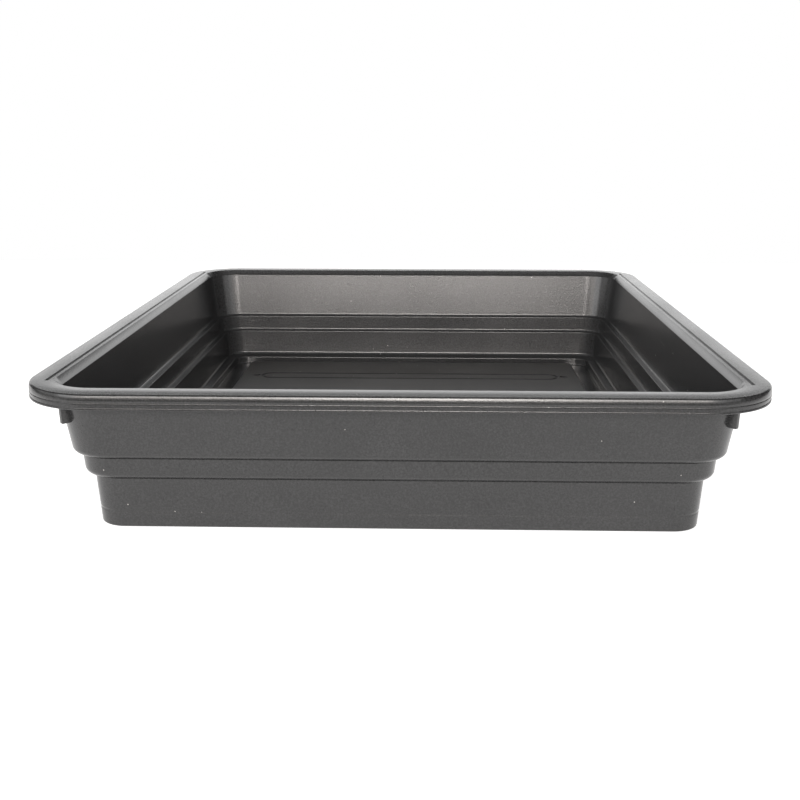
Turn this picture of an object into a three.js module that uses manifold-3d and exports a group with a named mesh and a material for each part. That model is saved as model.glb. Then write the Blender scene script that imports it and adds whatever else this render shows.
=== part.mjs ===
// Propagator tray: a deep black plastic seed tray with a flanged rim, stepped walls and a drained floor.
// Millimetres, +Z up. The origin is on the ground under the middle of the tray, and -Y is its front end.
// The tray is one moulding. Its regions are parted at level planes along its own creases, so that each
// is a closed solid that sits face to face on the one below.
import * as THREE from "three";
import { mergeVertices } from "three/addons/utils/BufferGeometryUtils.js";
import Module from "manifold-3d";

const wasm = await Module();
wasm.setup();

// Plan of the rim
const trayWidth = 420;
const trayDepth = 520;
const rimCornerRadius = 45.4;
// How much a corner's radius shrinks for each millimetre inwards, across the rim and then down the wall
const rimCornerTightening = 1.2;
const wallCornerTightening = 0.5;
const smallestCornerRadius = 5;

// Wall of the moulding, and how far each band leans in for each millimetre of its height
const wall = 1.2;
const upperDraft = 0.165;
const middleDraft = 0.08;
const lowerDraft = 0.068;

// Rim: a flat flange with a rounded edge, a rounded inner lip, and a skirt below a parting line
const rimFlatWidth = 14.8;
const flangeThickness = 1.6;
const rimEdgeRadius = 2.4;
const rimEdgeHeight = 4.9;
const lipWidth = 2.4;
const lipDrop = 4.6;
const skirtDrop = 3.5;
const skirtThickness = 1.8;
const skirtRecess = 0.4;
const skirtBeadHeight = 1.2;

// Grooves for the lid, along the two long sides of the rim
const grooveWidth = 3.3;
const grooveDepth = 0.9;
const grooveFromLip = 0.3;
const grooveEndInset = 32;

// Heights of the three wall bands and of the base, from the lip down to the ground
const upperBandHeight = 39.1;
const middleBandHeight = 13.5;
const lowerBandHeight = 21;
const baseHeight = 9.8;

// Rounded steps under the upper and the middle band
const upperStep = 5;
const middleStep = 5;
const ledgeEdgeRadius = 1;

// Base: a foot, a sloping ledge inside it, and a drainage channel round a raised panel
const footEdgeRadius = 1;
const footLedgeWidth = 7.4;
const footLedgeFall = 2;
const channelWidth = 14.8;
const channelFloor = 1.4;
const channelSideLean = 1;
const panelRise = 5.4;
const panelEdgeRadius = 0.8;

// Stadium-shaped grooves across the panel, one near each end
const stadiumWidth = 21.5;
const stadiumLineWidth = 1.8;
const stadiumDepth = 0.6;
const stadiumSideMargin = 17.5;
const stadiumEndMargin = 48;

// Stacking fins, one under the rim at each corner
const finReach = 2.4;
const finTaper = 1.2;
const finHeight = 20.4;
const finThickness = 2.8;
const finClearance = 0.3;

// Finish of the plastic, and how finely curves are divided
const plasticColor = "#2c2c2d";
const plasticRoughness = 0.42;
const cornerSteps = 8;
const roundSteps = 4;
const stadiumSteps = 10;
// How far a cutter stands clear of the face that it cuts
const cutterMargin = 5;

// Levels of the planes that part the regions
const footLedgeTop = baseHeight;
const middleStepLevel = footLedgeTop + lowerBandHeight;
const upperStepLevel = middleStepLevel + middleBandHeight;
const wallTop = upperStepLevel + upperBandHeight;
const rimTop = wallTop + lipDrop;
const flangeUnderside = rimTop - flangeThickness;
const partingLevel = rimTop - rimEdgeHeight;
const panelTop = channelFloor + panelRise;

// Insets of the wall's outer face from the rim's outer edge, from the top down
const upperOuterTop = rimFlatWidth + lipWidth - wall;
const upperOuterFoot = upperOuterTop + upperDraft * (upperBandHeight - upperStep);
const middleOuterTop = upperOuterFoot + upperStep;
const middleOuterFoot = middleOuterTop + middleDraft * (middleBandHeight - middleStep);
const lowerOuterTop = middleOuterFoot + middleStep;
const lowerOuterFoot = lowerOuterTop + lowerDraft * lowerBandHeight;
const footOuter = lowerOuterFoot + lowerDraft * baseHeight;

// Insets of the base's parts, from the lower wall's inner foot to the panel
const footLedgeOuter = lowerOuterFoot + wall;
const footLedgeInner = footLedgeOuter + footLedgeWidth;
const channelOuter = footLedgeInner + channelSideLean;
const channelInner = channelOuter + channelWidth;
const panelEdge = channelInner + channelSideLean;
const panelWallFoot = channelInner + wall;

// Outlines and solids

function cornerRadiusAt(inset) {
  const acrossRim = Math.min(inset, rimFlatWidth + lipWidth);
  const downWall = inset - acrossRim;
  const radius = rimCornerRadius - rimCornerTightening * acrossRim - wallCornerTightening * downWall;
  return Math.max(radius, smallestCornerRadius);
}

// The rounded rectangle that lies a given inset inside the rim's outer edge, counterclockwise from above
function outline(inset) {
  const radius = cornerRadiusAt(inset);
  const centreX = trayWidth / 2 - inset - radius;
  const centreY = trayDepth / 2 - inset - radius;
  const points = [];
  [[1, 1], [-1, 1], [-1, -1], [1, -1]].forEach(([sideX, sideY], corner) => {
    for (let step = 0; step <= cornerSteps; step += 1) {
      const angle = (corner + step / cornerSteps) * (Math.PI / 2);
      const x = sideX * centreX + radius * Math.cos(angle);
      const y = sideY * centreY + radius * Math.sin(angle);
      points.push(new THREE.Vector2(x, y));
    }
  });
  return points;
}

// Points of a quarter ellipse between two profile points, with its centre at [centreInset, centreZ]
function quarterRound([startInset, startZ], [endInset, endZ], [centreInset, centreZ]) {
  const points = [];
  for (let step = 0; step <= roundSteps; step += 1) {
    const angle = (step / roundSteps) * (Math.PI / 2);
    const fromStart = Math.cos(angle);
    const toEnd = Math.sin(angle);
    points.push([
      centreInset + (startInset - centreInset) * fromStart + (endInset - centreInset) * toEnd,
      centreZ + (startZ - centreZ) * fromStart + (endZ - centreZ) * toEnd,
    ]);
  }
  return points;
}

// Inset of the upper wall's outer face at a height
function wallOuterAt(z) {
  return upperOuterTop + upperDraft * (wallTop - z);
}

function geometryFrom(positions, triangles) {
  const geometry = new THREE.BufferGeometry();
  geometry.setAttribute("position", new THREE.Float32BufferAttribute(positions, 3));
  geometry.setIndex(triangles);
  geometry.computeVertexNormals();
  return geometry;
}

// The vertices of the outlines at a list of [inset, z] points, and the quads between neighbouring outlines
function loft(profile, isClosed) {
  const positions = [];
  for (const [inset, z] of profile) {
    for (const { x, y } of outline(inset)) {
      positions.push(x, y, z);
    }
  }
  const count = positions.length / 3 / profile.length;
  const bands = isClosed ? profile.length : profile.length - 1;
  const triangles = [];
  for (let band = 0; band < bands; band += 1) {
    const above = band * count;
    const below = ((band + 1) % profile.length) * count;
    for (let point = 0; point < count; point += 1) {
      const next = (point + 1) % count;
      triangles.push(above + point, below + point, below + next);
      triangles.push(above + point, below + next, above + next);
    }
  }
  return { positions, triangles, count };
}

// A ring round the tray with one closed [inset, z] profile, listed down the outside and up the inside
function ringGeometry(profile) {
  const { positions, triangles } = loft(profile, true);
  return geometryFrom(positions, triangles);
}

// A lid-shaped solid: its profile runs from the rim of its top face down and back up to its underside
function cappedGeometry(profile) {
  const { positions, triangles, count } = loft(profile, false);
  const [topInset] = profile[0];
  const [undersideInset] = profile[profile.length - 1];
  const underside = (profile.length - 1) * count;
  for (const [a, b, c] of THREE.ShapeUtils.triangulateShape(outline(topInset), [])) {
    triangles.push(a, b, c);
  }
  for (const [a, b, c] of THREE.ShapeUtils.triangulateShape(outline(undersideInset), [])) {
    triangles.push(underside + c, underside + b, underside + a);
  }
  return geometryFrom(positions, triangles);
}

function toManifold(geometry) {
  const bare = geometry.clone();
  bare.deleteAttribute("normal");
  bare.deleteAttribute("uv");
  const merged = mergeVertices(bare);
  const vertProperties = new Float32Array(merged.attributes.position.array);
  const triVerts = new Uint32Array(merged.index.array);
  return new wasm.Manifold(new wasm.Mesh({ numProp: 3, vertProperties, triVerts }));
}

function cut(geometry, cutters) {
  const solid = cutters.reduce((rest, cutter) => rest.subtract(toManifold(cutter)), toManifold(geometry));
  const { vertProperties, triVerts } = solid.getMesh();
  return geometryFrom(Array.from(vertProperties), Array.from(triVerts));
}

// Rim

function rimFlangeGeometry() {
  const edge = rimEdgeRadius;
  const hollowEdge = edge - flangeThickness;
  const hollowTop = skirtThickness + hollowEdge;
  const hollowLevel = flangeUnderside - hollowEdge;
  const lipEnd = rimFlatWidth + lipWidth;
  const flange = ringGeometry([
    [upperOuterTop, wallTop],
    ...quarterRound([lipEnd, wallTop], [rimFlatWidth, rimTop], [rimFlatWidth, wallTop]),
    ...quarterRound([edge, rimTop], [0, rimTop - edge], [edge, rimTop - edge]),
    [0, partingLevel],
    [skirtThickness, partingLevel],
    ...quarterRound([skirtThickness, hollowLevel], [hollowTop, flangeUnderside], [hollowTop, hollowLevel]),
    [wallOuterAt(flangeUnderside), flangeUnderside],
  ]);
  const grooveMiddle = trayWidth / 2 - rimFlatWidth + grooveFromLip + grooveWidth / 2;
  const cutterHeight = grooveDepth + cutterMargin;
  const grooveCutters = [-1, 1].map((side) => {
    const groove = new THREE.BoxGeometry(grooveWidth, trayDepth - 2 * grooveEndInset, cutterHeight);
    return groove.translate(side * grooveMiddle, 0, rimTop - grooveDepth + cutterHeight / 2);
  });
  return cut(flange, grooveCutters);
}

// The skirt's face lies back below the parting line, down to a bead along its bottom
function rimSkirtGeometry() {
  const skirtBottom = partingLevel - skirtDrop;
  return ringGeometry([
    [skirtRecess, partingLevel],
    [skirtRecess, skirtBottom + skirtBeadHeight],
    [0, skirtBottom + skirtBeadHeight - skirtRecess],
    [0, skirtBottom],
    [skirtThickness, skirtBottom],
    [skirtThickness, partingLevel],
  ]);
}

// Walls

// A band of wall that ends in a rounded step: outside a quarter round, inside a ledge
function steppedBand(outerTop, topLevel, outerFoot, stepLevel, step) {
  const nextOuter = outerFoot + step;
  const nextInner = nextOuter + wall;
  const ledge = stepLevel + wall;
  const innerRound = Math.max(step - wall, ledgeEdgeRadius);
  const innerFoot = outerFoot + wall;
  const edge = ledgeEdgeRadius;
  return ringGeometry([
    [outerTop, topLevel],
    ...quarterRound([outerFoot, stepLevel + step], [nextOuter, stepLevel], [nextOuter, stepLevel + step]),
    [nextInner, stepLevel],
    ...quarterRound([nextInner, ledge - edge], [nextInner - edge, ledge], [nextInner - edge, ledge - edge]),
    ...quarterRound(
      [innerFoot + innerRound, ledge],
      [innerFoot, ledge + innerRound],
      [innerFoot + innerRound, ledge + innerRound],
    ),
    [outerTop + wall, topLevel],
  ]);
}

function lowerWallGeometry() {
  return ringGeometry([
    [lowerOuterTop, middleStepLevel],
    [lowerOuterFoot, footLedgeTop],
    [lowerOuterFoot + wall, footLedgeTop],
    [lowerOuterTop + wall, middleStepLevel],
  ]);
}

// Base

// Foot, sloping ledge and channel in one ring of even wall, open underneath between foot and channel
function baseChannelGeometry() {
  const edge = Math.min(footEdgeRadius, wall);
  const ledgeInnerTop = footLedgeTop - footLedgeFall;
  return ringGeometry([
    [lowerOuterFoot, footLedgeTop],
    ...quarterRound([footOuter, edge], [footOuter + edge, 0], [footOuter + edge, edge]),
    [footOuter + wall, 0],
    [footLedgeOuter, footLedgeTop - wall],
    [footLedgeInner - wall, ledgeInnerTop - wall],
    [channelOuter - wall, 0],
    [panelWallFoot, 0],
    [panelWallFoot, channelFloor],
    [channelOuter, channelFloor],
    [footLedgeInner, ledgeInnerTop],
    [footLedgeOuter, footLedgeTop],
  ]);
}

// A stadium-shaped ring that sinks a line into the panel's top face
function stadiumCutter(middleY) {
  const length = trayWidth - 2 * (panelEdge + stadiumSideMargin);
  const stadium = (radius, path) => {
    const straight = (length - stadiumWidth) / 2;
    path.absarc(straight, middleY, radius, -Math.PI / 2, Math.PI / 2, false);
    path.absarc(-straight, middleY, radius, Math.PI / 2, (3 * Math.PI) / 2, false);
    path.closePath();
    return path;
  };
  const line = stadium(stadiumWidth / 2, new THREE.Shape());
  line.holes.push(stadium(stadiumWidth / 2 - stadiumLineWidth, new THREE.Path()));
  const depth = stadiumDepth + cutterMargin;
  const cutter = new THREE.ExtrudeGeometry(line, { depth, bevelEnabled: false, curveSegments: stadiumSteps });
  return cutter.translate(0, 0, panelTop - stadiumDepth);
}

function floorPanelGeometry() {
  const edge = Math.min(panelEdgeRadius, wall);
  const flatEdge = panelEdge + edge;
  const panel = cappedGeometry([
    ...quarterRound([flatEdge, panelTop], [panelEdge, panelTop - edge], [flatEdge, panelTop - edge]),
    [channelInner, channelFloor],
    [panelWallFoot, channelFloor],
    [panelEdge + wall, panelTop - wall],
  ]);
  const stadiumMiddle = trayDepth / 2 - panelEdge - stadiumEndMargin - stadiumWidth / 2;
  return cut(panel, [stadiumCutter(stadiumMiddle), stadiumCutter(-stadiumMiddle)]);
}

// Stacking fins

// Distance along a corner's diagonal from the sharp corner of the rim's plan to the outline at an inset
function diagonalAt(inset) {
  return Math.SQRT2 * (inset + cornerRadiusAt(inset) * (1 - Math.SQRT1_2));
}

// The fin's outline in the upright plane of the diagonal: x runs inwards from the corner, y is the height
function finGeometry() {
  const top = flangeUnderside - finClearance;
  const bottom = flangeUnderside - finHeight;
  const outerTop = diagonalAt(wallOuterAt(top)) - finReach;
  const fin = new THREE.Shape([
    new THREE.Vector2(outerTop, top),
    new THREE.Vector2(outerTop + finTaper, bottom),
    new THREE.Vector2(diagonalAt(wallOuterAt(bottom)) - finClearance, bottom),
    new THREE.Vector2(diagonalAt(wallOuterAt(top)) - finClearance, top),
  ]);
  const geometry = new THREE.ExtrudeGeometry(fin, { depth: finThickness, bevelEnabled: false });
  return geometry.translate(0, 0, -finThickness / 2).rotateX(Math.PI / 2);
}

// Assembly

const tray = new THREE.Group();

function addPart(name, geometry) {
  const material = new THREE.MeshStandardMaterial({
    color: plasticColor,
    roughness: plasticRoughness,
    metalness: 0,
  });
  const mesh = new THREE.Mesh(geometry, material);
  mesh.name = name;
  tray.add(mesh);
  return mesh;
}

addPart("rim_flange", rimFlangeGeometry());
addPart("rim_skirt", rimSkirtGeometry());
addPart("upper_wall", steppedBand(upperOuterTop, wallTop, upperOuterFoot, upperStepLevel, upperStep));
addPart(
  "middle_wall",
  steppedBand(middleOuterTop, upperStepLevel, middleOuterFoot, middleStepLevel, middleStep),
);
addPart("lower_wall", lowerWallGeometry());
addPart("base_channel", baseChannelGeometry());
addPart("floor_panel", floorPanelGeometry());

const finCorners = {
  stacking_fin_front_left: [-1, -1],
  stacking_fin_front_right: [1, -1],
  stacking_fin_back_left: [-1, 1],
  stacking_fin_back_right: [1, 1],
};
for (const [name, [sideX, sideY]] of Object.entries(finCorners)) {
  const fin = addPart(name, finGeometry());
  fin.position.set((sideX * trayWidth) / 2, (sideY * trayDepth) / 2, 0);
  fin.rotation.z = Math.atan2(-sideY, -sideX);
}

export default tray;
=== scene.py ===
"""Looks of the propagator tray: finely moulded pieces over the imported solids, black plastic, studio light.

The pieces are in the frame of the solids: +Z up, -Y towards the camera, origin on the ground under the
middle. Sizes are in millimetres and become metres where a mesh or the camera is made.
"""

import math

import bmesh
import bpy
from mathutils import Matrix, Vector


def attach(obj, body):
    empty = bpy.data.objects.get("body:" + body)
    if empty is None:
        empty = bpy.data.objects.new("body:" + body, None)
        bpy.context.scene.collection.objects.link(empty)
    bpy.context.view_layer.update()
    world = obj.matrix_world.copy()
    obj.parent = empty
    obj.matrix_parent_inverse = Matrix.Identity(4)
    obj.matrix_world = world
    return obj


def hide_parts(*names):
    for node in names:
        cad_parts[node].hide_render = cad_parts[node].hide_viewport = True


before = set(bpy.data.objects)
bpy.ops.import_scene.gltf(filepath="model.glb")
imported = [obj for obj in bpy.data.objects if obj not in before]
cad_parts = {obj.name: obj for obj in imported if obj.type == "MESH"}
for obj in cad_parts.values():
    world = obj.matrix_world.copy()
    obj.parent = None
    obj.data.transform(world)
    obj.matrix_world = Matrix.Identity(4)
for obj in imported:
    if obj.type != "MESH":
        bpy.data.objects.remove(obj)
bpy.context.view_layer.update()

MM = 0.001
BODY = "root"

# Plan of the rim, and how much a corner tightens for each millimetre inwards: across the rim, then down
# the wall
TRAY_WIDTH = 420
TRAY_DEPTH = 520
RIM_CORNER_RADIUS = 45.4
RIM_CORNER_TIGHTENING = 1.2
WALL_CORNER_TIGHTENING = 0.5
SMALLEST_CORNER_RADIUS = 5

# Wall of the moulding, and the lean of each band
WALL = 1.2
UPPER_DRAFT = 0.165
MIDDLE_DRAFT = 0.08
LOWER_DRAFT = 0.068

# Rim: bulged inner lip, slightly crowned top, rounded edge with a curved face, parting line and
# beaded skirt
RIM_FLAT_WIDTH = 14.8
FLANGE_THICKNESS = 1.6
RIM_EDGE_HEIGHT = 5.2
CROWN_INSET = 8
CROWN_HALF_WIDTH = 5
CROWN_SLOPE = 0.05
RIM_EDGE_RADIUS = 1.35
RIM_FACE_RADIUS = 11
RIM_FACE_LEAN = math.radians(16)
PARTING_TUCK = 0.25
LIP_WIDTH = 2.4
LIP_DROP = 4.6
LIP_HEAD = 15.4
LIP_FOOT = 18.3
LIP_BULGE = 0.35
SKIRT_DROP = 3.9
SKIRT_THICKNESS = 1.8
SKIRT_RECESS = 0.4
UPPER_BEAD_HEIGHT = 0.9
LOWER_BEAD_HEIGHT = 1.2
BEAD_SLOPE_REACH = 0.09
BEAD_SLOPE_HEIGHT = 0.35
SKIRT_FOOT_RADIUS = 0.4

# Grooves for the lid along the long sides
GROOVE_WIDTH = 1.9
GROOVE_DEPTH = 0.9
GROOVE_OUTER = 11.4
GROOVE_END_INSET = 32
GROOVE_CHAMFER = 0.2

# Heights of the bands and the base, and the rounded steps between them
UPPER_BAND_HEIGHT = 39.1
MIDDLE_BAND_HEIGHT = 13.5
LOWER_BAND_HEIGHT = 21
BASE_HEIGHT = 9.8
UPPER_STEP = 5
MIDDLE_STEP = 5
LEDGE_RISE = 0.6
LEDGE_EDGE_WIDTH = 0.3
LEDGE_EDGE_HEIGHT = 0.55
LEDGE_FILLET = 1.8
LEDGE_FALL = 0.22
CREASE_DEPTH = 0.6
CREASE_HEIGHT = 0.6

# Base: foot with a faint sink line, sloping ledge, channel and panel
FOOT_EDGE_RADIUS = 1.3
SINK_LEVEL = 9.8
SINK_HALF_HEIGHT = 1.3
SINK_DEPTH = 0.2
SINK_STEPS = 6
LEDGE_CORNER_RADIUS = 2.4
FOOT_LEDGE_WIDTH = 7.4
FOOT_LEDGE_FALL = 2
FOOT_LEDGE_EDGE_RADIUS = 0.9
CHANNEL_WIDTH = 14.8
CHANNEL_FLOOR = 1.4
CHANNEL_SIDE_LEAN = 1
PANEL_RISE = 5.4
PANEL_EDGE_RADIUS = 0.8

# Stadium-shaped lines on the panel, with a small tick beyond each end
STADIUM_WIDTH = 21.5
STADIUM_LINE_WIDTH = 3
STADIUM_DEPTH = 0.9
STADIUM_BOTTOM_SHARE = 0.25
STADIUM_SIDE_MARGIN = 17.5
STADIUM_END_MARGIN = 48
TICK_LENGTH = 8
TICK_WIDTH = 7
TICK_GAP = 1

# Stacking fins
FIN_REACH = 2.4
FIN_TAPER = 1.2
FIN_HEIGHT = 21.1
FIN_THICKNESS = 2.8
FIN_ROOT = 0.5
FIN_EDGE_RADIUS = 0.35

# How finely curves are divided, how edges are shaded, and how far a cutter stands out
CORNER_STEPS = 24
ROUND_STEPS = 9
CROWN_STEPS = 10
STADIUM_STEPS = 16
CHANNEL_CORNER_STEPS = 4
FOOT_LEDGE_EDGE_STEPS = 5
FIN_EDGE_STEPS = 3
ROUND_BEVEL = 0.5
SHARP_ANGLE = math.radians(33)
NORMAL_WEIGHT = 80
CUTTER_MARGIN = 5

# Levels of the planes between the regions
FOOT_LEDGE_TOP = BASE_HEIGHT
MIDDLE_STEP_LEVEL = FOOT_LEDGE_TOP + LOWER_BAND_HEIGHT
UPPER_STEP_LEVEL = MIDDLE_STEP_LEVEL + MIDDLE_BAND_HEIGHT
WALL_TOP = UPPER_STEP_LEVEL + UPPER_BAND_HEIGHT
RIM_TOP = WALL_TOP + LIP_DROP
FLANGE_UNDERSIDE = RIM_TOP - FLANGE_THICKNESS
PARTING_LEVEL = RIM_TOP - RIM_EDGE_HEIGHT
PANEL_TOP = CHANNEL_FLOOR + PANEL_RISE

# Insets of the wall's outer face and of the base's parts
UPPER_OUTER_TOP = RIM_FLAT_WIDTH + LIP_WIDTH - WALL
UPPER_OUTER_FOOT = UPPER_OUTER_TOP + UPPER_DRAFT * (UPPER_BAND_HEIGHT - UPPER_STEP)
MIDDLE_OUTER_TOP = UPPER_OUTER_FOOT + UPPER_STEP
MIDDLE_OUTER_FOOT = MIDDLE_OUTER_TOP + MIDDLE_DRAFT * (MIDDLE_BAND_HEIGHT - MIDDLE_STEP)
LOWER_OUTER_TOP = MIDDLE_OUTER_FOOT + MIDDLE_STEP
LOWER_OUTER_FOOT = LOWER_OUTER_TOP + LOWER_DRAFT * LOWER_BAND_HEIGHT
FOOT_OUTER = LOWER_OUTER_FOOT + LOWER_DRAFT * BASE_HEIGHT
FOOT_LEDGE_OUTER = LOWER_OUTER_FOOT + WALL
FOOT_LEDGE_INNER = FOOT_LEDGE_OUTER + FOOT_LEDGE_WIDTH
CHANNEL_OUTER = FOOT_LEDGE_INNER + CHANNEL_SIDE_LEAN
CHANNEL_INNER = CHANNEL_OUTER + CHANNEL_WIDTH
PANEL_EDGE = CHANNEL_INNER + CHANNEL_SIDE_LEAN
PANEL_WALL_FOOT = CHANNEL_INNER + WALL


# Outlines and meshes


def corner_radius_at(inset):
    across_rim = min(inset, RIM_FLAT_WIDTH + LIP_WIDTH)
    down_wall = inset - across_rim
    radius = RIM_CORNER_RADIUS - RIM_CORNER_TIGHTENING * across_rim - WALL_CORNER_TIGHTENING * down_wall
    return max(radius, SMALLEST_CORNER_RADIUS)


def outline(inset):
    """Points of the rounded rectangle at an inset from the rim's edge, counterclockwise from above."""
    radius = corner_radius_at(inset)
    centre_x = TRAY_WIDTH / 2 - inset - radius
    centre_y = TRAY_DEPTH / 2 - inset - radius
    points = []
    for corner, (side_x, side_y) in enumerate(((1, 1), (-1, 1), (-1, -1), (1, -1))):
        for step in range(CORNER_STEPS + 1):
            angle = (corner + step / CORNER_STEPS) * math.pi / 2
            x = side_x * centre_x + radius * math.cos(angle)
            y = side_y * centre_y + radius * math.sin(angle)
            points.append((x, y))
    return points


def quarter_round(start, end, centre, steps=ROUND_STEPS):
    """Points of a quarter ellipse from start to end, in [inset, z]."""
    points = []
    for step in range(steps + 1):
        angle = step / steps * math.pi / 2
        points.append(
            tuple(
                middle + (first - middle) * math.cos(angle) + (last - middle) * math.sin(angle)
                for first, last, middle in zip(start, end, centre)
            )
        )
    return points


def mesh_object(name, vertices, faces):
    mesh = bpy.data.meshes.new(name)
    mesh.from_pydata([[value * MM for value in vertex] for vertex in vertices], [], faces)
    mesh.update()
    piece = bpy.data.objects.new(name, mesh)
    bpy.context.scene.collection.objects.link(piece)
    return piece


def band_faces(rows, count, is_closed):
    """Faces between each row of points and the next. If closed, the last row also meets the first."""
    faces = []
    for band in range(rows if is_closed else rows - 1):
        above = band * count
        below = (band + 1) % rows * count
        for point in range(count):
            following = (point + 1) % count
            faces.append((above + point, below + point, below + following, above + following))
    return faces


def loft(profile, is_closed):
    """Points and faces of a skin along a profile in [inset, z], and the number of points in a row."""
    vertices = [(x, y, z) for inset, z in profile for x, y in outline(inset)]
    count = len(vertices) // len(profile)
    return vertices, band_faces(len(profile), count, is_closed), count


def ring(name, profile):
    """A ring round the tray with one closed profile, listed down the outside and up the inside."""
    vertices, faces, _ = loft(profile, True)
    return mesh_object(name, vertices, faces)


def lid(name, profile):
    """A solid with a top face and an underside, whose profile runs from the one to the other."""
    vertices, faces, count = loft(profile, False)
    underside = len(vertices) - count
    faces.append(tuple(range(count)))
    faces.append(tuple(reversed(range(underside, underside + count))))
    return mesh_object(name, vertices, faces)


def extruded(name, section, low, high, place):
    """A prism on a flat section, from low to high. place turns (u, v, height) into (x, y, z)."""
    count = len(section)
    vertices = [place(u, v, level) for level in (low, high) for u, v in section]
    faces = [tuple(reversed(range(count))), tuple(range(count, 2 * count))]
    for point in range(count):
        following = (point + 1) % count
        faces.append((point, following, count + following, count + point))
    return mesh_object(name, vertices, faces)


def face_outwards(piece):
    """Turns every face of a closed mesh to the outside."""
    shape = bmesh.new()
    shape.from_mesh(piece.data)
    bmesh.ops.recalc_face_normals(shape, faces=shape.faces)
    shape.to_mesh(piece.data)
    shape.free()


def cut(piece, cutters):
    """Takes the cutters out of the piece and removes them."""
    for cutter in cutters:
        face_outwards(cutter)
        modifier = piece.modifiers.new("cut", "BOOLEAN")
        modifier.operation = "DIFFERENCE"
        modifier.solver = "EXACT"
        modifier.object = cutter
    depsgraph = bpy.context.evaluated_depsgraph_get()
    made = bpy.data.meshes.new_from_object(piece.evaluated_get(depsgraph))
    piece.modifiers.clear()
    piece.data = made
    for cutter in cutters:
        bpy.data.objects.remove(cutter)


def round_edges(piece, radius):
    shape = bmesh.new()
    shape.from_mesh(piece.data)
    bmesh.ops.bevel(
        shape,
        geom=shape.edges[:],
        offset=radius * MM,
        segments=FIN_EDGE_STEPS,
        profile=ROUND_BEVEL,
        affect="EDGES",
    )
    shape.to_mesh(piece.data)
    shape.free()


def dress(piece, material, *nodes):
    """Smooth shading that keeps creases crisp, the material, and the piece's place in the frame."""
    piece.data.materials.clear()
    piece.data.materials.append(material)
    for polygon in piece.data.polygons:
        polygon.use_smooth = True
    piece.data.set_sharp_from_angle(angle=SHARP_ANGLE)
    weighted = piece.modifiers.new("weighted_normals", "WEIGHTED_NORMAL")
    weighted.keep_sharp = True
    weighted.weight = NORMAL_WEIGHT
    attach(piece, BODY)
    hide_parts(*nodes)


# Plastic

# Colour, range of roughness, strength of the grain, and specular level of each plastic
RIM_COLOUR = (0.03, 0.0303, 0.031)
RIM_ROUGHNESS = (0.18, 0.25)
RIM_GRAIN = 0.2
WALL_COLOUR = (0.029, 0.0293, 0.0302)
WALL_ROUGHNESS = (0.18, 0.26)
WALL_GRAIN = 0.28
SATIN_SPECULAR = 0.65
PANEL_COLOUR = (0.018, 0.0182, 0.0187)
PANEL_ROUGHNESS = (0.42, 0.5)
PANEL_GRAIN = 0.35
PANEL_SPECULAR = 0.25
PLASTIC_IOR = 1.5

# Noise, as scale in waves to a metre, detail and roughness, and the part of its range that is made use of
SHADE_NOISE = (28, 5, 0.6)
SHADE_RANGE = (0.75, 1.25)
MOTTLE_NOISE = (950, 2, 0.7)
MOTTLE_RANGE = (0.55, 1.45)
GLOSS_NOISE = (9, 6, 0.55)
WAVE_NOISE = (11, 1, 0.5)
WAVE_STRENGTH = 0.12
WAVE_HEIGHT = 0.002
GRAIN_NOISE = (800, 2, 0.5)
GRAIN_HEIGHT = 0.0002
FULL_RANGE = (0, 1)
MIDDLE_RANGE = (0.3, 0.7)

# Pale dust: cells to a metre, size of a speck in its cell, and the share of cells that stay clean
SPECK_SCALE = 110
SPECK_RADIUS = 0.035
SPECK_RARITY = 0.45
DUST_COLOUR = (0.55, 0.54, 0.52)

# Colour sockets of a mix node
MIX_A = 6
MIX_B = 7
MIX_RESULT = 2


def node(tree, kind, **values):
    made = tree.nodes.new(kind)
    for key, value in values.items():
        if key in made.inputs:
            made.inputs[key].default_value = value
        else:
            setattr(made, key, value)
    return made


def calc(tree, operation, *values):
    """A math node on numbers and other nodes' results. Gives its own result."""
    made = node(tree, "ShaderNodeMath", operation=operation)
    for socket, value in zip(made.inputs, values):
        if isinstance(value, (int, float)):
            socket.default_value = value
        else:
            tree.links.new(value, socket)
    return made.outputs["Value"]


def noise(tree, place, kind):
    scale, detail, roughness = kind
    made = node(tree, "ShaderNodeTexNoise", Scale=scale, Detail=detail, Roughness=roughness)
    tree.links.new(place, made.inputs["Vector"])
    return made.outputs["Fac"]


def spread(tree, value, old, new):
    """Maps one range of a value to another."""
    made = node(tree, "ShaderNodeMapRange")
    for socket, limit in zip(("From Min", "From Max", "To Min", "To Max"), (*old, *new)):
        made.inputs[socket].default_value = limit
    tree.links.new(value, made.inputs["Value"])
    return made.outputs["Result"]


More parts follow.
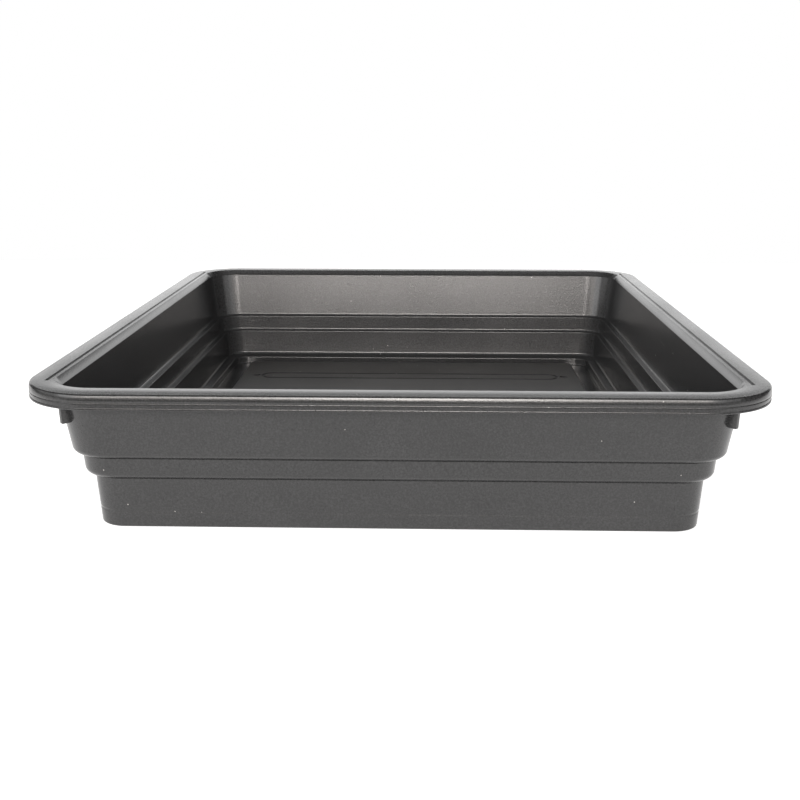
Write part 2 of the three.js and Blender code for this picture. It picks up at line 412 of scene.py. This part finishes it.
def plastic(name, base, roughness, grain, specular):
    """Black polypropylene: mottle, grain, slow waves left by cooling, uneven gloss and a little dust."""
    material = bpy.data.materials.new(name)
    material.use_nodes = True
    tree = material.node_tree
    tree.nodes.clear()
    link = tree.links.new
    output = node(tree, "ShaderNodeOutputMaterial")
    shader = node(tree, "ShaderNodeBsdfPrincipled", **{"IOR": PLASTIC_IOR, "Specular IOR Level": specular})
    link(shader.outputs["BSDF"], output.inputs["Surface"])
    place = node(tree, "ShaderNodeTexCoord").outputs["Object"]

    tint = spread(tree, noise(tree, place, SHADE_NOISE), FULL_RANGE, SHADE_RANGE)
    mottle = spread(tree, noise(tree, place, MOTTLE_NOISE), MIDDLE_RANGE, MOTTLE_RANGE)
    colour = node(tree, "ShaderNodeMix", data_type="RGBA", blend_type="MULTIPLY", Factor=1)
    colour.inputs[MIX_A].default_value = (*base, 1)
    link(calc(tree, "MULTIPLY", tint, mottle), colour.inputs[MIX_B])

    cells = node(tree, "ShaderNodeTexVoronoi", Scale=SPECK_SCALE)
    link(place, cells.inputs["Vector"])
    split = node(tree, "ShaderNodeSeparateColor")
    link(cells.outputs["Color"], split.inputs["Color"])
    near = calc(tree, "LESS_THAN", cells.outputs["Distance"], SPECK_RADIUS)
    rare = calc(tree, "GREATER_THAN", split.outputs["Red"], SPECK_RARITY)
    dusted = node(tree, "ShaderNodeMix", data_type="RGBA")
    dusted.inputs[MIX_B].default_value = (*DUST_COLOUR, 1)
    link(calc(tree, "MULTIPLY", near, rare), dusted.inputs["Factor"])
    link(colour.outputs[MIX_RESULT], dusted.inputs[MIX_A])
    link(dusted.outputs[MIX_RESULT], shader.inputs["Base Color"])

    gloss = spread(tree, noise(tree, place, GLOSS_NOISE), MIDDLE_RANGE, roughness)
    link(gloss, shader.inputs["Roughness"])

    slow = node(tree, "ShaderNodeBump", Strength=WAVE_STRENGTH, Distance=WAVE_HEIGHT)
    link(noise(tree, place, WAVE_NOISE), slow.inputs["Height"])
    grained = node(tree, "ShaderNodeBump", Strength=grain, Distance=GRAIN_HEIGHT)
    link(noise(tree, place, GRAIN_NOISE), grained.inputs["Height"])
    link(slow.outputs["Normal"], grained.inputs["Normal"])
    link(grained.outputs["Normal"], shader.inputs["Normal"])
    return material


rim_plastic = plastic("glossier_black_plastic", RIM_COLOUR, RIM_ROUGHNESS, RIM_GRAIN, SATIN_SPECULAR)
wall_plastic = plastic("satin_black_plastic", WALL_COLOUR, WALL_ROUGHNESS, WALL_GRAIN, SATIN_SPECULAR)
floor_plastic = plastic(
    "fine_textured_black_plastic", PANEL_COLOUR, PANEL_ROUGHNESS, PANEL_GRAIN, PANEL_SPECULAR
)


# Rim


def rim_top_at(inset):
    """Level of the rim's slightly crowned top."""
    away = abs(inset - CROWN_INSET)
    if away > CROWN_HALF_WIDTH:
        return RIM_TOP - CROWN_SLOPE * (away - CROWN_HALF_WIDTH / 2)
    return RIM_TOP - CROWN_SLOPE * away**2 / (2 * CROWN_HALF_WIDTH)


def arc(centre, radius, start, end):
    """Points of an arc on the rim's edge, from one lean of the face to another."""
    points = []
    for step in range(ROUND_STEPS + 1):
        lean = start + (end - start) * step / ROUND_STEPS
        points.append((centre[0] - radius * math.cos(lean), centre[1] + radius * math.sin(lean)))
    return points


def lip_points():
    """The bevel inside the rim, bulged a little, from the wall up to the rim's top."""
    head = Vector((LIP_HEAD, rim_top_at(LIP_HEAD)))
    foot = Vector((LIP_FOOT, WALL_TOP))
    run = head - foot
    swell = Vector((run.y, -run.x)).normalized() * LIP_BULGE
    points = []
    for step in range(ROUND_STEPS + 1):
        share = step / ROUND_STEPS
        points.append(tuple(foot + run * share + swell * 2 * share * (1 - share)))
    return points


def rim_flange():
    edge_inset = RIM_FACE_RADIUS * (1 - math.cos(RIM_FACE_LEAN)) + RIM_EDGE_RADIUS * math.cos(RIM_FACE_LEAN)
    edge_centre = rim_top_at(edge_inset) - RIM_EDGE_RADIUS
    face_centre = edge_centre + (RIM_EDGE_RADIUS - RIM_FACE_RADIUS) * math.sin(RIM_FACE_LEAN)
    hollow_edge = edge_inset - FLANGE_THICKNESS + SKIRT_THICKNESS
    hollow_level = FLANGE_UNDERSIDE - hollow_edge
    hollow_top = SKIRT_THICKNESS + hollow_edge
    wall_under_flange = UPPER_OUTER_TOP + UPPER_DRAFT * (WALL_TOP - FLANGE_UNDERSIDE)
    crown = []
    for step in range(CROWN_STEPS + 1):
        inset = CROWN_INSET + CROWN_HALF_WIDTH * (1 - 2 * step / CROWN_STEPS)
        crown.append((inset, rim_top_at(inset)))
    piece = ring(
        "moulded_rim_flange",
        [
            (UPPER_OUTER_TOP, WALL_TOP),
            *lip_points(),
            *crown,
            *arc((edge_inset, edge_centre), RIM_EDGE_RADIUS, math.pi / 2, RIM_FACE_LEAN),
            *arc((RIM_FACE_RADIUS, face_centre), RIM_FACE_RADIUS, RIM_FACE_LEAN, 0)[1:],
            (PARTING_TUCK, PARTING_LEVEL),
            (SKIRT_THICKNESS, PARTING_LEVEL),
            *quarter_round(
                (SKIRT_THICKNESS, hollow_level), (hollow_top, FLANGE_UNDERSIDE), (hollow_top, hollow_level)
            ),
            (wall_under_flange, FLANGE_UNDERSIDE),
        ],
    )
    half = GROOVE_WIDTH / 2
    middle = TRAY_WIDTH / 2 - GROOVE_OUTER - half
    bottom = RIM_TOP - GROOVE_DEPTH
    mouth = half + GROOVE_CHAMFER
    section = [
        (-half + GROOVE_CHAMFER, bottom),
        (half - GROOVE_CHAMFER, bottom),
        (half, bottom + GROOVE_CHAMFER),
        (half, RIM_TOP - GROOVE_CHAMFER),
        (mouth, RIM_TOP),
        (mouth, RIM_TOP + CUTTER_MARGIN),
        (-mouth, RIM_TOP + CUTTER_MARGIN),
        (-mouth, RIM_TOP),
        (-half, RIM_TOP - GROOVE_CHAMFER),
        (-half, bottom + GROOVE_CHAMFER),
    ]
    reach = TRAY_DEPTH / 2 - GROOVE_END_INSET
    cutters = [
        extruded("groove", section, -reach, reach, lambda u, v, y, side=side: (side * middle + u, y, v))
        for side in (-1, 1)
    ]
    cut(piece, cutters)
    return piece


def rim_skirt():
    bottom = PARTING_LEVEL - SKIRT_DROP
    bead_top = bottom + LOWER_BEAD_HEIGHT
    bead_foot = bottom + SKIRT_FOOT_RADIUS
    return ring(
        "moulded_rim_skirt",
        [
            (BEAD_SLOPE_REACH, PARTING_LEVEL),
            (0, PARTING_LEVEL - BEAD_SLOPE_HEIGHT),
            (0, PARTING_LEVEL - UPPER_BEAD_HEIGHT),
            (SKIRT_RECESS, PARTING_LEVEL - UPPER_BEAD_HEIGHT),
            (SKIRT_RECESS, bead_top),
            (BEAD_SLOPE_REACH, bead_top),
            (0, bead_top - BEAD_SLOPE_HEIGHT),
            *quarter_round((0, bead_foot), (SKIRT_FOOT_RADIUS, bottom), (SKIRT_FOOT_RADIUS, bead_foot)),
            (SKIRT_THICKNESS, bottom),
            (SKIRT_THICKNESS, PARTING_LEVEL),
        ],
    )


# Walls


def creased(outer_top, level):
    """Top of a band's outer face: a crease tucked in under the step above it."""
    return [(outer_top + CREASE_DEPTH, level), (outer_top, level - CREASE_HEIGHT)]


def stepped_band(name, outer_head, inner_head, outer_foot, step_level, step):
    """A band of wall that ends in a rounded step outside and a ledge inside."""
    next_outer = outer_foot + step
    next_inner = next_outer + WALL
    ledge = step_level + LEDGE_RISE
    ledge_back = ledge + LEDGE_FALL
    inner_foot = outer_foot + WALL
    edge_inset = next_inner - LEDGE_EDGE_WIDTH
    edge_foot = ledge - LEDGE_EDGE_HEIGHT
    return ring(
        name,
        [
            *outer_head,
            *quarter_round(
                (outer_foot, step_level + step), (next_outer, step_level), (next_outer, step_level + step)
            ),
            (next_outer + CREASE_DEPTH, step_level),
            (next_inner, step_level),
            *quarter_round((next_inner, edge_foot), (edge_inset, ledge), (edge_inset, edge_foot)),
            *quarter_round(
                (inner_foot + LEDGE_FILLET, ledge_back),
                (inner_foot, ledge_back + LEDGE_FILLET),
                (inner_foot + LEDGE_FILLET, ledge_back + LEDGE_FILLET),
            ),
            inner_head,
        ],
    )


def foot_outer_at(z):
    """Outer face of the lower wall and the foot, with the faint sink line where the floor joins it."""
    face = LOWER_OUTER_FOOT + LOWER_DRAFT * (FOOT_LEDGE_TOP - z)
    share = (z - SINK_LEVEL) / SINK_HALF_HEIGHT
    if abs(share) >= 1:
        return face
    return face + SINK_DEPTH * (1 + math.cos(share * math.pi)) / 2


def sink_points(high, low):
    """Points of that face between two levels, from the top down."""
    return [
        (foot_outer_at(high + (low - high) * step / SINK_STEPS), high + (low - high) * step / SINK_STEPS)
        for step in range(SINK_STEPS + 1)
    ]


def lower_wall():
    return ring(
        "moulded_lower_wall",
        [
            *creased(LOWER_OUTER_TOP, MIDDLE_STEP_LEVEL),
            *sink_points(SINK_LEVEL + SINK_HALF_HEIGHT, FOOT_LEDGE_TOP),
            (LOWER_OUTER_FOOT + WALL, FOOT_LEDGE_TOP),
            (LOWER_OUTER_TOP + WALL, MIDDLE_STEP_LEVEL),
        ],
    )


# Base


def base_channel():
    edge = FOOT_EDGE_RADIUS
    ledge_inner_top = FOOT_LEDGE_TOP - FOOT_LEDGE_FALL
    lip = FOOT_LEDGE_EDGE_RADIUS
    corner = LEDGE_CORNER_RADIUS
    fall_at_corner = FOOT_LEDGE_FALL * corner / FOOT_LEDGE_WIDTH
    corner_inset = FOOT_LEDGE_OUTER + corner
    corner_foot = FOOT_LEDGE_TOP - fall_at_corner
    corner_head = FOOT_LEDGE_TOP + corner - fall_at_corner
    corner_head_inset = FOOT_LEDGE_OUTER - LOWER_DRAFT * (corner_head - FOOT_LEDGE_TOP)
    return ring(
        "moulded_base_channel",
        [
            *sink_points(FOOT_LEDGE_TOP, SINK_LEVEL - SINK_HALF_HEIGHT),
            *quarter_round((foot_outer_at(edge), edge), (FOOT_OUTER + edge, 0), (FOOT_OUTER + edge, edge)),
            (FOOT_OUTER + WALL, 0),
            (FOOT_LEDGE_OUTER, FOOT_LEDGE_TOP - WALL),
            (FOOT_LEDGE_INNER - WALL, ledge_inner_top - WALL),
            (CHANNEL_OUTER - WALL, 0),
            (PANEL_WALL_FOOT, 0),
            (PANEL_WALL_FOOT, CHANNEL_FLOOR),
            *quarter_round(
                (FOOT_LEDGE_INNER + lip, CHANNEL_FLOOR),
                (FOOT_LEDGE_INNER, CHANNEL_FLOOR + lip),
                (FOOT_LEDGE_INNER + lip, CHANNEL_FLOOR + lip),
                CHANNEL_CORNER_STEPS,
            ),
            *quarter_round(
                (FOOT_LEDGE_INNER, ledge_inner_top - lip),
                (FOOT_LEDGE_INNER - lip, ledge_inner_top),
                (FOOT_LEDGE_INNER - lip, ledge_inner_top - lip),
                FOOT_LEDGE_EDGE_STEPS,
            ),
            *quarter_round(
                (corner_inset, corner_foot), (corner_head_inset, corner_head), (corner_inset, corner_head)
            ),
            (FOOT_LEDGE_OUTER, FOOT_LEDGE_TOP),
        ],
    )


def stadium(radius, straight, middle_y):
    """Points of a stadium across the tray, counterclockwise from above."""
    points = []
    for side, start in ((1, -math.pi / 2), (-1, math.pi / 2)):
        for step in range(STADIUM_STEPS + 1):
            angle = start + step / STADIUM_STEPS * math.pi
            points.append((side * straight + radius * math.cos(angle), middle_y + radius * math.sin(angle)))
    return points


def stadium_cutter(middle_y):
    """A stadium-shaped band with a narrow bottom, which sinks a line into the panel."""
    straight = TRAY_WIDTH / 2 - PANEL_EDGE - STADIUM_SIDE_MARGIN - STADIUM_WIDTH / 2
    middle = STADIUM_WIDTH / 2 - STADIUM_LINE_WIDTH / 2
    half = STADIUM_LINE_WIDTH / 2
    bottom = PANEL_TOP - STADIUM_DEPTH
    top = PANEL_TOP + CUTTER_MARGIN
    narrow = half * STADIUM_BOTTOM_SHARE
    section = [(middle - half, top), (middle - half, PANEL_TOP), (middle - narrow, bottom)]
    section += [(middle + narrow, bottom), (middle + half, PANEL_TOP), (middle + half, top)]
    vertices = [(x, y, z) for radius, z in section for x, y in stadium(radius, straight, middle_y)]
    count = len(vertices) // len(section)
    return mesh_object("stadium", vertices, band_faces(len(section), count, True))


def tick_cutter(side, middle_y):
    """A small three-cornered mark that points outwards beyond the end of a stadium line."""
    base = TRAY_WIDTH / 2 - PANEL_EDGE - STADIUM_SIDE_MARGIN + TICK_GAP
    section = [
        (side * base, middle_y - TICK_WIDTH / 2),
        (side * (base + TICK_LENGTH), middle_y),
        (side * base, middle_y + TICK_WIDTH / 2),
    ]
    bottom = PANEL_TOP - STADIUM_DEPTH
    return extruded("tick", section, bottom, PANEL_TOP + CUTTER_MARGIN, lambda u, v, z: (u, v, z))


def floor_panel():
    edge = PANEL_EDGE_RADIUS
    flat_edge = PANEL_EDGE + edge
    edge_foot = PANEL_TOP - edge
    piece = lid(
        "moulded_floor_panel",
        [
            *quarter_round((flat_edge, PANEL_TOP), (PANEL_EDGE, edge_foot), (flat_edge, edge_foot)),
            (CHANNEL_INNER, CHANNEL_FLOOR),
            (PANEL_WALL_FOOT, CHANNEL_FLOOR),
            (PANEL_EDGE + WALL, PANEL_TOP - WALL),
        ],
    )
    middle_y = TRAY_DEPTH / 2 - PANEL_EDGE - STADIUM_END_MARGIN - STADIUM_WIDTH / 2
    cutters = [stadium_cutter(end * middle_y) for end in (-1, 1)]
    cutters += [tick_cutter(side, end * middle_y) for end in (-1, 1) for side in (-1, 1)]
    cut(piece, cutters)
    return piece


# Stacking fins


def diagonal_at(inset):
    """Distance along a diagonal from the sharp corner of the rim's plan to the outline at an inset."""
    return math.sqrt(2) * (inset + corner_radius_at(inset) * (1 - math.sqrt(0.5)))


def wall_outer_at(z):
    return UPPER_OUTER_TOP + UPPER_DRAFT * (WALL_TOP - z)


def stacking_fin(name, side_x, side_y):
    top = FLANGE_UNDERSIDE + FIN_ROOT
    bottom = FLANGE_UNDERSIDE - FIN_HEIGHT
    outer_top = diagonal_at(wall_outer_at(top)) - FIN_REACH
    section = [
        (outer_top, top),
        (outer_top + FIN_TAPER, bottom),
        (diagonal_at(wall_outer_at(bottom)) + FIN_ROOT, bottom),
        (diagonal_at(wall_outer_at(top)) + FIN_ROOT, top),
    ]
    half = FIN_THICKNESS / 2

    def place(along, z, across):
        x = TRAY_WIDTH / 2 - (along + across) * math.sqrt(0.5)
        y = TRAY_DEPTH / 2 - (along - across) * math.sqrt(0.5)
        return side_x * x, side_y * y, z

    piece = extruded(name, section, -half, half, place)
    face_outwards(piece)
    round_edges(piece, FIN_EDGE_RADIUS)
    return piece


dress(rim_flange(), rim_plastic, "rim_flange")
dress(rim_skirt(), wall_plastic, "rim_skirt")
upper_wall = stepped_band(
    "moulded_upper_wall",
    [(UPPER_OUTER_TOP, WALL_TOP)],
    (LIP_FOOT, WALL_TOP),
    UPPER_OUTER_FOOT,
    UPPER_STEP_LEVEL,
    UPPER_STEP,
)
dress(upper_wall, wall_plastic, "upper_wall")
middle_wall = stepped_band(
    "moulded_middle_wall",
    creased(MIDDLE_OUTER_TOP, UPPER_STEP_LEVEL),
    (MIDDLE_OUTER_TOP + WALL, UPPER_STEP_LEVEL),
    MIDDLE_OUTER_FOOT,
    MIDDLE_STEP_LEVEL,
    MIDDLE_STEP,
)
dress(middle_wall, wall_plastic, "middle_wall")
dress(lower_wall(), wall_plastic, "lower_wall")
dress(base_channel(), wall_plastic, "base_channel")
dress(floor_panel(), floor_plastic, "floor_panel")
for end, side_y in (("front", -1), ("back", 1)):
    for hand, side_x in (("left", -1), ("right", 1)):
        corner = f"{end}_{hand}"
        fin = stacking_fin(f"moulded_fin_{corner}", side_x, side_y)
        dress(fin, wall_plastic, f"stacking_fin_{corner}")


# Studio

TABLE_HALF_WIDTH = 900
TABLE_FRONT = -610
TABLE_BACK = 1000
FLOOR_WHITE = 0.86
FLOOR_GLOW = 0.79
FLOOR_LEVEL = -0.2

# Panels of light round the tray: middle and half width of the azimuth, lowest and highest elevation, all
# in degrees, then strength and tint. Azimuth 0 is in front of the tray, where the camera is, and 90 is on
# its right. Elevations beyond 90 pass over the top.
ROOM_LIGHT = 0.05
LIGHT_SOFTNESS = 2.5
WARM = (1, 0.95, 0.91)
WHITE = (1, 1, 1)
ALL_ROUND = 200
LIGHTS = (
    (-51, 12.5, 3, 24, 3.5, WHITE),
    (-31, 8, 6, 24, 5.4, WARM),
    (-15, 8.5, 9, 24, 7.5, WARM),
    (0, 6.5, 8.8, 24, 24, WARM),
    (15, 9, 9, 24, 7, WARM),
    (31, 7, 3, 24, 2.2, WHITE),
    (51, 13, 3, 24, 1.3, WHITE),
    (180, 40, -3, 6, 1.1, WHITE),
    (180, 40, 6, 12.8, 1.8, WHITE),
    (180, 40, 12.8, 25, 0.15, WHITE),
    (180, 40, 25, 45, 2, WHITE),
    (-85, 22, 0, 24, 0.9, WHITE),
    (0, ALL_ROUND, 55, 125, 0.4, WHITE),
)


def make_floor():
    """A white table. Where it is seen, also in the plastic, it glows, so that only a shadow shows on it."""
    corners = [
        (-TABLE_HALF_WIDTH, TABLE_FRONT, FLOOR_LEVEL),
        (TABLE_HALF_WIDTH, TABLE_FRONT, FLOOR_LEVEL),
        (TABLE_HALF_WIDTH, TABLE_BACK, FLOOR_LEVEL),
        (-TABLE_HALF_WIDTH, TABLE_BACK, FLOOR_LEVEL),
    ]
    floor = mesh_object("studio_floor", corners, [(0, 1, 2, 3)])
    material = bpy.data.materials.new("white_floor")
    material.use_nodes = True
    tree = material.node_tree
    tree.nodes.clear()
    link = tree.links.new
    output = node(tree, "ShaderNodeOutputMaterial")
    matte = node(tree, "ShaderNodeBsdfDiffuse", Color=(FLOOR_WHITE, FLOOR_WHITE, FLOOR_WHITE, 1))
    glow = node(tree, "ShaderNodeEmission", Color=(1, 1, 1, 1))
    both = node(tree, "ShaderNodeAddShader")
    ray = node(tree, "ShaderNodeLightPath")
    seen = calc(tree, "MAXIMUM", ray.outputs["Is Camera Ray"], ray.outputs["Is Glossy Ray"])
    link(calc(tree, "MULTIPLY", seen, FLOOR_GLOW), glow.inputs["Strength"])
    link(matte.outputs["BSDF"], both.inputs[0])
    link(glow.outputs["Emission"], both.inputs[1])
    link(both.outputs["Shader"], output.inputs["Surface"])
    floor.data.materials.append(material)


def within(tree, angle, middle, half):
    """1 for angles within half a width of the middle and 0 beyond, with soft ends. Widths are in degrees."""
    away = calc(tree, "SUBTRACT", angle, math.radians(middle))
    away = calc(tree, "ABSOLUTE", calc(tree, "WRAP", away, math.pi, -math.pi))
    span = node(tree, "ShaderNodeMapRange", interpolation_type="SMOOTHSTEP")
    span.inputs["From Min"].default_value = math.radians(half + LIGHT_SOFTNESS)
    span.inputs["From Max"].default_value = math.radians(half - LIGHT_SOFTNESS)
    tree.links.new(away, span.inputs["Value"])
    return span.outputs["Result"]


def make_world():
    """White to the camera. To the plastic, a dim room with the panels of light."""
    world = bpy.data.worlds.new("studio")
    world.use_nodes = True
    tree = world.node_tree
    tree.nodes.clear()
    link = tree.links.new
    output = node(tree, "ShaderNodeOutputWorld")
    background = node(tree, "ShaderNodeBackground")
    place = node(tree, "ShaderNodeTexCoord")
    split = node(tree, "ShaderNodeSeparateXYZ")
    link(place.outputs["Generated"], split.inputs["Vector"])
    turn = calc(tree, "ARCTAN2", split.outputs["X"], calc(tree, "MULTIPLY", split.outputs["Y"], -1))
    rise = calc(tree, "ARCSINE", split.outputs["Z"])
    total = node(tree, "ShaderNodeCombineXYZ", X=ROOM_LIGHT, Y=ROOM_LIGHT, Z=ROOM_LIGHT).outputs["Vector"]
    for middle, half, low, high, strength, tint in LIGHTS:
        across = within(tree, turn, middle, half)
        upright = within(tree, rise, (low + high) / 2, (high - low) / 2)
        panel = node(tree, "ShaderNodeVectorMath", operation="SCALE")
        panel.inputs[0].default_value = [strength * share for share in tint]
        link(calc(tree, "MULTIPLY", across, upright), panel.inputs["Scale"])
        joined = node(tree, "ShaderNodeVectorMath", operation="ADD")
        link(total, joined.inputs[0])
        link(panel.outputs["Vector"], joined.inputs[1])
        total = joined.outputs["Vector"]
    ray = node(tree, "ShaderNodeLightPath")
    seen = node(tree, "ShaderNodeMix", data_type="RGBA")
    seen.inputs[MIX_B].default_value = (1, 1, 1, 1)
    link(ray.outputs["Is Camera Ray"], seen.inputs["Factor"])
    link(total, seen.inputs[MIX_A])
    link(seen.outputs[MIX_RESULT], background.inputs["Color"])
    link(background.outputs["Background"], output.inputs["Surface"])
    bpy.context.scene.world = world


make_floor()
make_world()

# Camera, fitted to the photograph

CAMERA_PLACE = (18.04, -835.02, 231.41)
CAMERA_YAW = 0.02705
CAMERA_PITCH = 0.24743
CAMERA_ROLL = 0.00057
CAMERA_LENS = 50.313
CAMERA_SENSOR = 36
CAMERA_NEAR = 10

camera = bpy.data.cameras.new("camera")
camera.sensor_width = CAMERA_SENSOR
camera.lens = CAMERA_LENS
camera.clip_start = CAMERA_NEAR * MM
camera_holder = bpy.data.objects.new("camera", camera)
bpy.context.scene.collection.objects.link(camera_holder)
camera_holder.matrix_world = (
    Matrix.Translation(Vector(CAMERA_PLACE) * MM)
    @ Matrix.Rotation(CAMERA_YAW, 4, "Z")
    @ Matrix.Rotation(math.pi / 2 - CAMERA_PITCH, 4, "X")
    @ Matrix.Rotation(CAMERA_ROLL, 4, "Z")
)
bpy.context.scene.camera = camera_holder
bpy.context.scene.view_settings.view_transform = "Standard"
